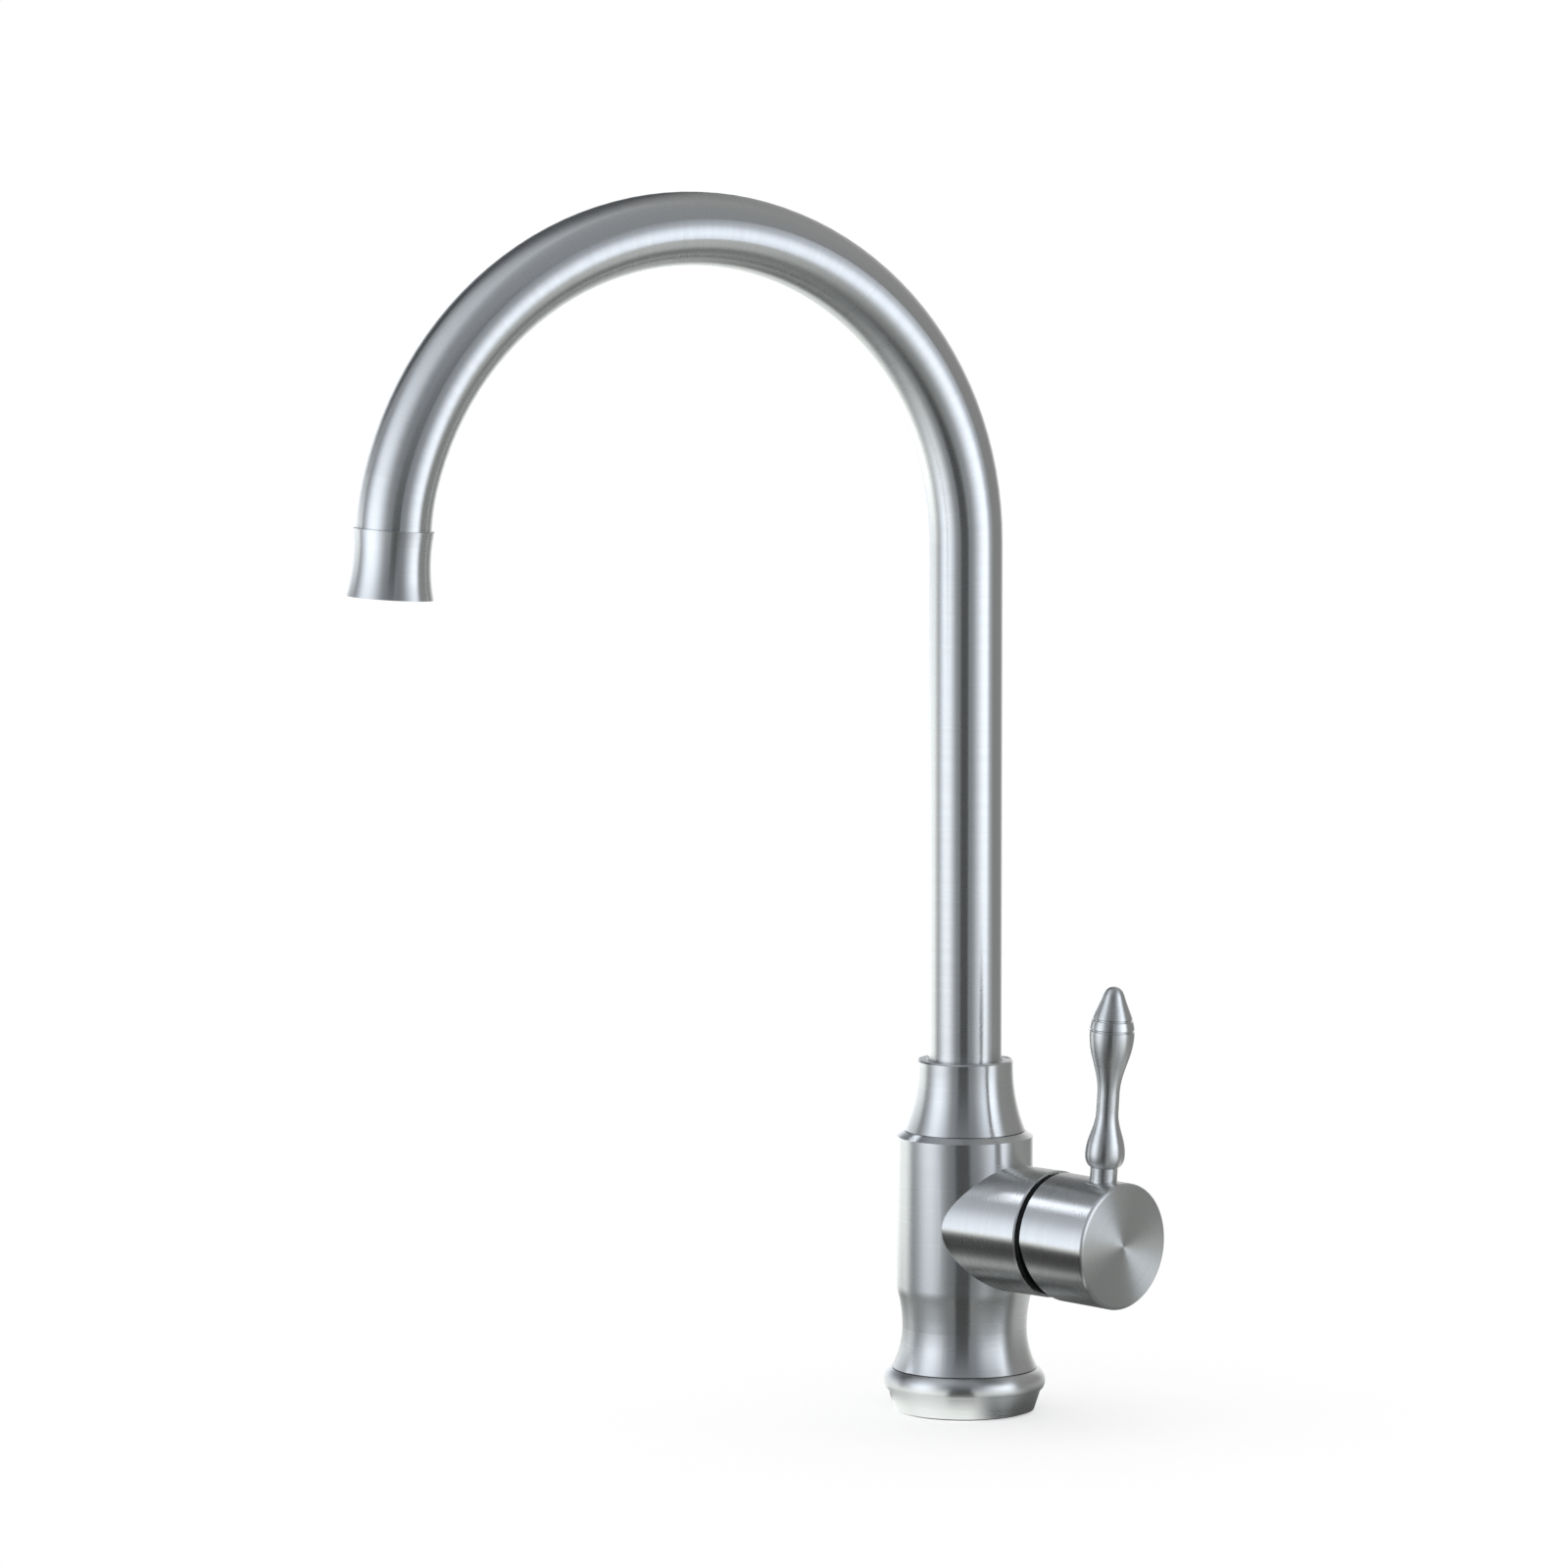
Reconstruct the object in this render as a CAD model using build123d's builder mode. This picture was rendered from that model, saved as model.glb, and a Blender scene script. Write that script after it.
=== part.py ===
from build123d import *
import os
from math import cos, radians, sin, sqrt

# Single-lever gooseneck kitchen faucet, in millimetres.
# Origin at the centre of the deck face, +Z up, spout bent towards -X.

# Clearances
press_gap = 0.01
fit_gap = 0.05
run_gap = 0.1
swing_gap = 0.3
seam_gap = 0.3

# Spout tube
tube_diameter = 25.0
tube_wall = 1.2
bend_radius = 109.0
bend_centre_height = 299.0
main_bend_angle = 165.0
end_bend_radius = 77.0
end_bend_angle = 176.0
outlet_straight = 1.0
outlet_thread_radius = 11.0
outlet_thread_length = 8.0
outlet_thread_wall = 1.4
end_ring_length = 3.0

# Aerator
shell_top_radius = 13.4
shell_waist_radius = 12.8
shell_waist_depth = 9.0
shell_bottom_radius = 14.5
shell_length = 22.5
shell_mouth_radius = 12.9
shell_mouth_depth = 2.6
aerator_gasket_thickness = 1.5
aerator_gasket_width = 1.5
insert_flange_thickness = 2.0
insert_wall = 1.0
insert_cup_depth = 4.5
honeycomb_depth = 6.0
honeycomb_pitch = 2.6
honeycomb_cell = 2.1
honeycomb_rings = 3
screen_thickness = 0.5
screen_hole = 0.8

# Body, heights above the deck
body_radius = 23.3
waist_radius = 21.35
foot_radius = 24.8
waist_height = 29.0
waist_curve_share = 0.85
cylinder_start_height = 43.4
shoulder_height = 95.0
shoulder_rise = 2.1
collar_base_radius = 20.6
seam_depth = 1.2

# Neck collar and the swivel inside it
collar_height = 24.3
collar_rim_radius = 16.4
collar_rim_height = 2.4
collar_thread_radius = 18.0
collar_thread_length = 4.9
collar_edge = 0.5
swivel_ring_thickness = 1.2
swivel_ring_radius = 14.6
tail_flange_thickness = 2.5
tail_stem_radius = 10.5
tail_stem_length = 15.0
tail_bore_radius = 7.0
tail_spigot_length = 12.0
spout_seal_section = 1.9
spout_seal_spacing = 5.5

# Base ring, gasket and inlet block
base_ring_height = 14.7
base_ring_lift = 0.5
base_bottom_radius = 24.0
bead_radius = 27.7
bead_height = 10.0
bead_edge_height = 8.0
bead_edge_radius = 27.1
bead_step = 0.6
foot_spigot_radius = 19.5
foot_spigot_lift = 1.0
gasket_thickness = 2.0
gasket_width = 2.9
block_radius = 17.0
block_height = 13.0
inlet_thread_radius = 4.5
inlet_thread_length = 11.0
stud_thread_radius = 3.4
stud_thread_length = 10.0
stud_offset = 9.0

# Valve barrel: its drop below the shoulder, then distances along its axis from the body axis
valve_angle = -72.0
valve_drop = 29.7
barrel_radius = 21.65
barrel_end = 41.9
barrel_edge = 0.5
cartridge_seat = 5.4
cartridge_radius = 17.4
cartridge_gap = 0.2
water_way_radius = 3.2
inlet_way_offset = 7.5
inlet_way_drop = 5.0
outlet_way_rise = 8.0
riser_radius = 4.5
riser_offset = 5.0
drilling_depth = 7.0

# Cartridge
base_thickness = 5.0
seal_section = 1.5
seal_width = 1.5
peg_radius = 1.4
peg_length = 2.5
peg_offset = 14.0
fixed_disc_radius = 14.0
fixed_disc_thickness = 3.0
moving_disc_radius = 10.4
moving_disc_thickness = 3.4
mixing_length = 15.0
mixing_width = 11.0
mixing_depth = 1.8
mixing_corner = 2.7
carrier_thickness = 2.8
tongue_length = 15.0
tongue_width = 11.0
tongue_height = 3.0
housing_wall = 1.8
housing_shoulder = 28.4
housing_neck_radius = 12.8
housing_neck_length = 7.0
rotor_radius = 10.5
rotor_flange_thickness = 4.6
rotor_rise = 1.5
rotor_slot_length = 17.0
rotor_seal_section = 1.4
pivot_distance = 30.4
pin_radius = 1.5
ball_radius = 2.9
ball_arm = 9.3
stem_width = 8.0
stem_thickness = 7.0
stem_neck_radius = 2.2
stem_shoulder = 4.5
stem_engagement = 14.5

# Cartridge nut and bonnet ring
nut_thread_radius = 18.5
nut_thread_length = 4.0
nut_hex_length = 3.5
nut_bore_gap = 0.3
bonnet_radius = 19.7
bonnet_sphere_radius = 21.6
bonnet_thickness = 1.8
bonnet_hole_radius = 14.2
bonnet_flange_radius = 20.7
bonnet_flange_thickness = 1.5

# Handle
drum_gap = 2.7
drum_length = 27.9
drum_wall = 1.5
drum_face_thickness = 3.0
drum_edge = 1.4
hub_radius = 9.5
hub_clearance = 0.9
boss_radius = 6.2
handle_droop = 1.5
lever_distance = 61.8
lever_lean = 2.5
lever_seat = 20.9
lever_neck_radius = 4.65
lever_neck_top = 26.2
lever_bulb_radius = 6.8
lever_bulb_height = 30.8
lever_bulb_slope = 0.6
lever_waist_radius = 3.85
lever_waist_low = 45.5
lever_waist_high = 51.5
lever_head_radius = 7.75
lever_head_height = 72.2
lever_brow_radius = 6.2
lever_brow_height = 79.0
lever_crown_radius = 4.0
lever_crown_height = 84.3
lever_tip_height = 88.2
lever_thread_radius = 3.0
groove_depth = 0.45
groove_low_share = 0.07
groove_high_share = 0.265
screw_radius = 2.1
screw_length = 8.0
screw_socket = 2.5
screw_socket_depth = 3.0

# Levels that follow from the sizes above
tube_radius = tube_diameter / 2
tube_bore_radius = tube_radius - tube_wall
collar_seat_height = shoulder_height + shoulder_rise
collar_top = collar_seat_height + collar_height
spigot_top = collar_seat_height + collar_thread_length
tail_flange_bottom = spigot_top + swivel_ring_thickness + run_gap
tube_start = tail_flange_bottom + tail_flange_thickness
collar_shoulder = tube_start + run_gap + swivel_ring_thickness
tail_stem_bottom = spigot_top - tail_stem_length
socket_floor = tail_stem_bottom - swing_gap
valve_height = shoulder_height - valve_drop
waist_turn_radius = waist_radius + waist_curve_share * (body_radius - waist_radius)
waist_turn_height = waist_height + waist_curve_share * (cylinder_start_height - waist_height)
block_bottom = foot_spigot_lift
block_top = block_bottom + block_height

base_top = cartridge_seat + base_thickness
fixed_disc_top = base_top + fixed_disc_thickness
moving_disc_base = fixed_disc_top + fit_gap
moving_disc_top = moving_disc_base + moving_disc_thickness
carrier_top = moving_disc_top + carrier_thickness
tongue_top = carrier_top + tongue_height
flange_bottom = carrier_top + swing_gap
flange_top = flange_bottom + rotor_flange_thickness
housing_ceiling = flange_top + run_gap
housing_bore_radius = cartridge_radius - housing_wall
neck_top = housing_shoulder + housing_neck_length
rotor_top = neck_top + rotor_rise
nut_top = housing_shoulder + nut_thread_length + nut_hex_length
bonnet_seat = nut_top + swing_gap
chamber_radius = cartridge_radius + cartridge_gap
drum_back = barrel_end + drum_gap
drum_face = drum_back + drum_length
drum_radius = barrel_radius
drum_inner_radius = drum_radius - drum_wall
hub_back = pivot_distance + bonnet_sphere_radius + hub_clearance
stem_end = hub_back + stem_engagement
ball_distance = pivot_distance - ball_arm
screw_tip = stem_width / 2 + run_gap

# Directions and planes
up = Vector(0, 0, 1)
valve_direction = Vector(cos(radians(valve_angle)), sin(radians(valve_angle)), 0)
pin_direction = valve_direction.cross(up)
valve_origin = Vector(0, 0, valve_height)
valve_axis = Axis(valve_origin, valve_direction)
valve_section = Plane(valve_origin, x_dir=valve_direction, z_dir=pin_direction)


def across_valve(distance):
    """Plane square to the valve axis, X up, at a distance from the body axis."""
    return Plane(valve_origin + valve_direction * distance, x_dir=up, z_dir=valve_direction)


def level(height):
    """Horizontal plane at a height, X along the valve."""
    return Plane((0, 0, height), x_dir=valve_direction, z_dir=up)


def bend_point(centre, radius, angle):
    """Point of a bend in the spout's plane, its angle counted from +X."""
    return centre + Vector(cos(radians(angle)), 0, sin(radians(angle))) * radius


bend_centre = Vector(-bend_radius, 0, bend_centre_height)
end_bend_centre = bend_point(bend_centre, bend_radius - end_bend_radius, main_bend_angle)
flow_x = -sin(radians(end_bend_angle))
flow_z = cos(radians(end_bend_angle))
flow_direction = Vector(flow_x, 0, flow_z)
bend_end = bend_point(end_bend_centre, end_bend_radius, end_bend_angle)
outlet_origin = bend_end + flow_direction * outlet_straight
outlet_axis = Axis(outlet_origin, flow_direction)
outlet_side = Vector(flow_z, 0, -flow_x)
outlet_section = Plane(outlet_origin, x_dir=outlet_side, z_dir=(0, -1, 0))


def across_outlet(depth):
    """Plane square to the outlet axis at a depth below the tube end."""
    return Plane(outlet_origin + flow_direction * depth, x_dir=outlet_side, z_dir=flow_direction)


droop_sine = sin(radians(handle_droop))
droop_cosine = cos(radians(handle_droop))
handle_direction = valve_direction * droop_cosine - up * droop_sine
handle_up = up * droop_cosine + valve_direction * droop_sine
pivot_point = valve_origin + valve_direction * pivot_distance
handle_origin = pivot_point - handle_direction * pivot_distance
handle_axis = Axis(handle_origin, handle_direction)
handle_section = Plane(handle_origin, x_dir=handle_direction, z_dir=pin_direction)


def across_handle(distance):
    """Plane square to the drum's axis, counted as along the valve."""
    return Plane(
        handle_origin + handle_direction * distance, x_dir=handle_up, z_dir=handle_direction
    )


lean_sine = sin(radians(lever_lean))
lean_cosine = cos(radians(lever_lean))
lever_direction = handle_up * lean_cosine + handle_direction * lean_sine
lever_side = handle_direction * lean_cosine - handle_up * lean_sine
lever_origin = handle_origin + handle_direction * lever_distance
lever_axis = Axis(lever_origin, lever_direction)
lever_section = Plane(lever_origin, x_dir=lever_side, z_dir=pin_direction)


def across_lever(height):
    """Plane square to the lever at a height above the drum's axis."""
    return Plane(lever_origin + lever_direction * height, x_dir=lever_side, z_dir=lever_direction)


def below_drum_axis(depth):
    """Plane facing away from the lever, a depth below the drum's axis."""
    return Plane(lever_origin - handle_up * depth, x_dir=handle_direction, z_dir=-handle_up)


# Faucet body: turned column and welded valve barrel
outlet_reach = riser_offset + cartridge_seat
inlet_reach = drilling_depth + cartridge_seat
inlet_positions = [(-drilling_depth, inlet_way_offset), (-drilling_depth, -inlet_way_offset)]
port_positions = [
    (-inlet_way_drop, inlet_way_offset),
    (-inlet_way_drop, -inlet_way_offset),
    (outlet_way_rise, 0),
]
peg_positions = [(0, peg_offset), (0, -peg_offset)]
foot_seam_radius = foot_radius - 2 * seam_depth
with BuildPart() as faucet_body:
    with BuildSketch(Plane.XZ):
        with BuildLine():
            Polyline(
                (0, foot_spigot_lift),
                (foot_spigot_radius, foot_spigot_lift),
                (foot_spigot_radius, base_ring_height),
                (foot_seam_radius, base_ring_height),
                (foot_seam_radius, base_ring_height + seam_gap),
                (foot_radius, base_ring_height + seam_gap),
            )
            TangentArc(
                (waist_radius, waist_height),
                (foot_radius, base_ring_height + seam_gap),
                tangent=(0, -1),
            )
            waist_curve = TangentArc(
                (waist_radius, waist_height),
                (waist_turn_radius, waist_turn_height),
                tangent=(0, 1),
            )
            TangentArc(
                (waist_turn_radius, waist_turn_height),
                (body_radius, cylinder_start_height),
                tangent=waist_curve % 1,
            )
            Polyline(
                (body_radius, cylinder_start_height),
                (body_radius, shoulder_height),
                (collar_base_radius, collar_seat_height - seam_gap),
                (collar_base_radius - seam_depth, collar_seat_height - seam_gap),
                (collar_base_radius - seam_depth, collar_seat_height),
                (collar_thread_radius, collar_seat_height),
                (collar_thread_radius, spigot_top),
                (0, spigot_top),
                (0, foot_spigot_lift),
            )
        make_face()
    revolve(axis=Axis.Z)
    with BuildSketch(across_valve(0)):
        Circle(barrel_radius)
    extrude(amount=barrel_end)
    chamfer(faucet_body.edges().filter_by(GeomType.CIRCLE).sort_by(valve_axis)[-1], barrel_edge)
    # Cartridge chamber, nut thread and bonnet recess
    with BuildSketch(valve_section):
        with BuildLine():
            Polyline(
                (cartridge_seat, 0),
                (cartridge_seat, chamber_radius),
                (housing_shoulder - seam_gap, chamber_radius),
                (housing_shoulder - seam_gap, nut_thread_radius + fit_gap),
                (bonnet_seat, nut_thread_radius + fit_gap),
                (bonnet_seat, bonnet_radius + fit_gap),
                (barrel_end + barrel_edge, bonnet_radius + fit_gap),
                (barrel_end + barrel_edge, 0),
                (cartridge_seat, 0),
            )
        make_face()
    revolve(axis=valve_axis, mode=Mode.SUBTRACT)
    # Ways behind the cartridge seat
    with BuildSketch(across_valve(cartridge_seat)):
        with Locations(port_positions[0], port_positions[1]):
            Circle(water_way_radius)
    extrude(amount=-inlet_reach, mode=Mode.SUBTRACT)
    with BuildSketch(across_valve(cartridge_seat)):
        with Locations(port_positions[2]):
            Circle(water_way_radius)
    extrude(amount=-outlet_reach, mode=Mode.SUBTRACT)
    with BuildSketch(across_valve(cartridge_seat)):
        with Locations(*peg_positions):
            Circle(peg_radius + run_gap)
    extrude(amount=-(peg_length + swing_gap), mode=Mode.SUBTRACT)
    # Inlet drillings, outlet riser, spout socket and block recess
    with BuildSketch(level(block_top)):
        with Locations(*inlet_positions):
            Circle(water_way_radius)
    extrude(amount=valve_height - inlet_way_drop - block_top, mode=Mode.SUBTRACT)
    with BuildSketch(level(valve_height + outlet_way_rise)):
        with Locations((-riser_offset, 0)):
            Circle(riser_radius)
    extrude(amount=socket_floor - valve_height - outlet_way_rise, mode=Mode.SUBTRACT)
    with BuildSketch(level(socket_floor)):
        Circle(tail_stem_radius + run_gap)
    extrude(amount=spigot_top - socket_floor, mode=Mode.SUBTRACT)
    with BuildSketch(level(block_bottom)):
        Circle(block_radius + fit_gap)
    extrude(amount=block_height, mode=Mode.SUBTRACT)

# Base ring with its bead and tapered underside
gasket_outer = foot_spigot_radius + run_gap + gasket_width
with BuildPart() as base_ring:
    with BuildSketch(Plane.XZ):
        with BuildLine():
            Polyline(
                (foot_radius, base_ring_height),
                (foot_spigot_radius + fit_gap, base_ring_height),
                (foot_spigot_radius + fit_gap, gasket_thickness),
                (gasket_outer + run_gap, gasket_thickness),
                (gasket_outer + run_gap, base_ring_lift),
                (base_bottom_radius, base_ring_lift),
                (bead_edge_radius - bead_step, bead_edge_height),
                (bead_edge_radius, bead_edge_height),
            )
            ThreePointArc(
                (bead_edge_radius, bead_edge_height),
                (bead_radius, bead_height),
                (foot_radius, base_ring_height),
            )
        make_face()
    revolve(axis=Axis.Z)

with BuildPart() as base_gasket:
    with BuildSketch(Plane.XY):
        Circle(gasket_outer)
        Circle(gasket_outer - gasket_width, mode=Mode.SUBTRACT)
    extrude(amount=gasket_thickness)

# Inlet block with two hose threads and the stud thread
with BuildPart() as inlet_block:
    with BuildSketch(level(block_bottom)):
        Circle(block_radius)
    extrude(amount=block_height)
    with BuildSketch(level(block_bottom)):
        with Locations(*inlet_positions):
            Circle(inlet_thread_radius)
    extrude(amount=inlet_thread_length, mode=Mode.SUBTRACT)
    with BuildSketch(level(block_bottom)):
        with Locations(*inlet_positions):
            Circle(water_way_radius)
    extrude(amount=block_height, mode=Mode.SUBTRACT)
    with BuildSketch(level(block_bottom)):
        with Locations((stud_offset, 0)):
            Circle(stud_thread_radius)
    extrude(amount=stud_thread_length, mode=Mode.SUBTRACT)

# Neck collar: bell outside, thread and swivel recess inside
collar_bore = tube_radius + swing_gap
recess_radius = swivel_ring_radius + swing_gap
with BuildPart() as neck_collar:
    with BuildSketch(Plane.XZ):
        with BuildLine():
            TangentArc(
                (collar_rim_radius, collar_top - collar_rim_height),
                (collar_base_radius, collar_seat_height),
                tangent=(0, -1),
            )
            Polyline(
                (collar_base_radius, collar_seat_height),
                (collar_thread_radius + fit_gap, collar_seat_height),
                (collar_thread_radius + fit_gap, spigot_top + run_gap),
                (recess_radius, spigot_top + run_gap),
                (recess_radius, collar_shoulder),
                (collar_bore, collar_shoulder),
                (collar_bore, collar_top - collar_edge),
                (collar_bore + collar_edge, collar_top),
                (collar_rim_radius - collar_edge, collar_top),
                (collar_rim_radius, collar_top - collar_edge),
                (collar_rim_radius, collar_top - collar_rim_height),
            )
        make_face()
    revolve(axis=Axis.Z)

with BuildPart() as lower_swivel_ring:
    with BuildSketch(level(spigot_top)):
        Circle(swivel_ring_radius)
        Circle(tail_stem_radius + swing_gap, mode=Mode.SUBTRACT)
    extrude(amount=swivel_ring_thickness)

with BuildPart() as upper_swivel_ring:
    with BuildSketch(level(collar_shoulder - swivel_ring_thickness)):
        Circle(swivel_ring_radius)
        Circle(tube_radius + run_gap, mode=Mode.SUBTRACT)
    extrude(amount=swivel_ring_thickness)

# Spout tube with the threaded end ring brazed into the outlet
with BuildPart() as spout_tube:
    with BuildLine() as spout_path:
        Line((0, 0, tube_start), (0, 0, bend_centre_height))
        ThreePointArc(
            (0, 0, bend_centre_height),
            bend_point(bend_centre, bend_radius, main_bend_angle / 2),
            bend_point(bend_centre, bend_radius, main_bend_angle),
        )
        ThreePointArc(
            bend_point(bend_centre, bend_radius, main_bend_angle),
            bend_point(end_bend_centre, end_bend_radius, (main_bend_angle + end_bend_angle) / 2),
            bend_end,
        )
        Line(bend_end, outlet_origin)
    with BuildSketch(level(tube_start)):
        Circle(tube_radius)
        Circle(tube_bore_radius, mode=Mode.SUBTRACT)
    sweep(path=spout_path.wire())
    with BuildSketch(outlet_section):
        with BuildLine():
            thread_bore = outlet_thread_radius - outlet_thread_wall
            Polyline(
                (thread_bore, -end_ring_length),
                (tube_bore_radius, -end_ring_length),
                (tube_bore_radius, 0),
                (outlet_thread_radius, 0),
                (outlet_thread_radius, outlet_thread_length),
                (thread_bore, outlet_thread_length),
                close=True,
            )
        make_face()
    revolve(axis=outlet_axis)

# Spout tail: flange, sealed stem and the spigot brazed into the tube
seal_groove_depth = spout_seal_section
seal_groove_width = spout_seal_section + swing_gap
seal_height_low = (tail_stem_bottom + spigot_top - spout_seal_spacing) / 2
seal_heights = [seal_height_low, seal_height_low + spout_seal_spacing]
with BuildPart() as spout_tail:
    with BuildSketch(Plane.XZ):
        with BuildLine():
            Polyline(
                (tail_bore_radius, tail_stem_bottom),
                (tail_stem_radius, tail_stem_bottom),
                (tail_stem_radius, tail_flange_bottom),
                (swivel_ring_radius, tail_flange_bottom),
                (swivel_ring_radius, tube_start),
                (tube_bore_radius - fit_gap, tube_start),
                (tube_bore_radius - fit_gap, tube_start + tail_spigot_length),
                (tail_bore_radius, tube_start + tail_spigot_length),
                close=True,
            )
        make_face()
    revolve(axis=Axis.Z)
    for seal_height in seal_heights:
        with BuildSketch(level(seal_height - seal_groove_width / 2)):
            Circle(tail_stem_radius + run_gap)
            Circle(tail_stem_radius - seal_groove_depth, mode=Mode.SUBTRACT)
        extrude(amount=seal_groove_width, mode=Mode.SUBTRACT)

with BuildPart() as spout_o_rings:
    with BuildSketch(Plane.XZ):
        for seal_height in seal_heights:
            with Locations((tail_stem_radius - spout_seal_section / 2 + fit_gap, seal_height)):
                Circle(spout_seal_section / 2)
    revolve(axis=Axis.Z)

# Aerator shell, gasket, honeycomb insert and screen
gasket_top = outlet_thread_length
insert_top = gasket_top + aerator_gasket_thickness
insert_seat = insert_top + insert_flange_thickness
honeycomb_top = insert_top + insert_cup_depth
insert_bottom = honeycomb_top + honeycomb_depth
insert_radius = outlet_thread_radius - fit_gap
insert_body_radius = insert_radius - insert_wall + fit_gap
shell_thread_bore = outlet_thread_radius + fit_gap
shell_body_bore = insert_body_radius + run_gap
with BuildPart() as aerator_shell:
    with BuildSketch(outlet_section):
        with BuildLine():
            Spline(
                (shell_top_radius, 0),
                (shell_waist_radius, shell_waist_depth),
                (shell_bottom_radius, shell_length),
            )
            Polyline(
                (shell_bottom_radius, shell_length),
                (shell_mouth_radius, shell_length),
                (shell_body_bore, shell_length - shell_mouth_depth),
                (shell_body_bore, insert_seat),
                (shell_thread_bore, insert_seat),
                (shell_thread_bore, 0),
                (shell_top_radius, 0),
            )
        make_face()
    revolve(axis=outlet_axis)

with BuildPart() as aerator_gasket:
    with BuildSketch(across_outlet(gasket_top)):
        Circle(insert_radius)
        Circle(insert_radius - aerator_gasket_width, mode=Mode.SUBTRACT)
    extrude(amount=aerator_gasket_thickness)

cell_spots = []
for column in range(-honeycomb_rings, honeycomb_rings + 1):
    for row in range(-honeycomb_rings, honeycomb_rings + 1):
        if abs(column + row) <= honeycomb_rings:
            spot_x = honeycomb_pitch * (column + row / 2)
            spot_y = honeycomb_pitch * row * sqrt(3) / 2
            cell_spots.append((spot_x, spot_y))
with BuildPart() as aerator_insert:
    with BuildSketch(across_outlet(insert_top)):
        Circle(insert_radius)
    extrude(amount=insert_flange_thickness)
    with BuildSketch(across_outlet(insert_seat)):
        Circle(insert_body_radius)
    extrude(amount=insert_bottom - insert_seat)
    with BuildSketch(across_outlet(insert_top)):
        Circle(insert_body_radius - insert_wall)
    extrude(amount=insert_cup_depth, mode=Mode.SUBTRACT)
    with BuildSketch(across_outlet(insert_bottom)):
        with Locations(*cell_spots):
            RegularPolygon(honeycomb_cell / 2, 6, major_radius=False)
    extrude(amount=-honeycomb_depth, mode=Mode.SUBTRACT)

with BuildPart() as aerator_screen:
    with BuildSketch(across_outlet(honeycomb_top - screen_thickness)):
        Circle(insert_body_radius - insert_wall - run_gap)
        with Locations(*cell_spots):
            Rectangle(screen_hole, screen_hole, mode=Mode.SUBTRACT)
    extrude(amount=screen_thickness)

# Cartridge base with ports, seal pockets and locating pegs
seal_outer = water_way_radius + seal_width + run_gap
with BuildPart() as cartridge_base:
    with BuildSketch(across_valve(cartridge_seat)):
        Circle(cartridge_radius)
    extrude(amount=base_thickness)
    with BuildSketch(across_valve(cartridge_seat)):
        with Locations(*peg_positions):
            Circle(peg_radius)
    extrude(amount=-peg_length)
    with BuildSketch(across_valve(cartridge_seat)):
        with Locations(*port_positions):
            Circle(seal_outer + run_gap)
    extrude(amount=seal_section, mode=Mode.SUBTRACT)
    with BuildSketch(across_valve(cartridge_seat)):
        with Locations(*port_positions):
            Circle(water_way_radius)
    extrude(amount=base_thickness, mode=Mode.SUBTRACT)

with BuildPart() as port_seals:
    with BuildSketch(across_valve(cartridge_seat)):
        with Locations(*port_positions):
            Circle(seal_outer)
            Circle(seal_outer - seal_width, mode=Mode.SUBTRACT)
    extrude(amount=seal_section)

with BuildPart() as fixed_disc:
    with BuildSketch(across_valve(base_top)):
        Circle(fixed_disc_radius)
        with Locations(*port_positions):
            Circle(water_way_radius, mode=Mode.SUBTRACT)
    extrude(amount=fixed_disc_thickness)

# Moving disc and its carrier, slid by the stem's ball
with BuildPart() as moving_disc:
    with BuildSketch(across_valve(moving_disc_base)):
        Circle(moving_disc_radius)
    extrude(amount=moving_disc_thickness)
    with BuildSketch(across_valve(moving_disc_base)):
        RectangleRounded(mixing_length, mixing_width, mixing_corner)
    extrude(amount=mixing_depth, mode=Mode.SUBTRACT)

pocket_bottom = ball_distance - ball_radius - swing_gap
ball_rise = ball_arm * droop_sine
with BuildPart() as disc_carrier:
    with BuildSketch(across_valve(moving_disc_top)):
        Circle(moving_disc_radius)
    extrude(amount=carrier_thickness)
    with BuildSketch(across_valve(carrier_top)):
        Rectangle(tongue_length, tongue_width)
    extrude(amount=tongue_height)
    with BuildSketch(across_valve(tongue_top)):
        with Locations((ball_rise, 0)):
            Rectangle(2 * (ball_radius + run_gap), 2 * (ball_radius + run_gap))
    extrude(amount=pocket_bottom - tongue_top, mode=Mode.SUBTRACT)

with BuildPart() as cartridge_housing:
    with BuildSketch(valve_section):
        with BuildLine():
            Polyline(
                (base_top, housing_bore_radius),
                (base_top, cartridge_radius),
                (housing_shoulder, cartridge_radius),
                (housing_shoulder, housing_neck_radius),
                (neck_top, housing_neck_radius),
                (neck_top, rotor_radius + run_gap),
                (housing_ceiling, rotor_radius + run_gap),
                (housing_ceiling, housing_bore_radius),
                close=True,
            )
        make_face()
    revolve(axis=valve_axis)

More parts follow.
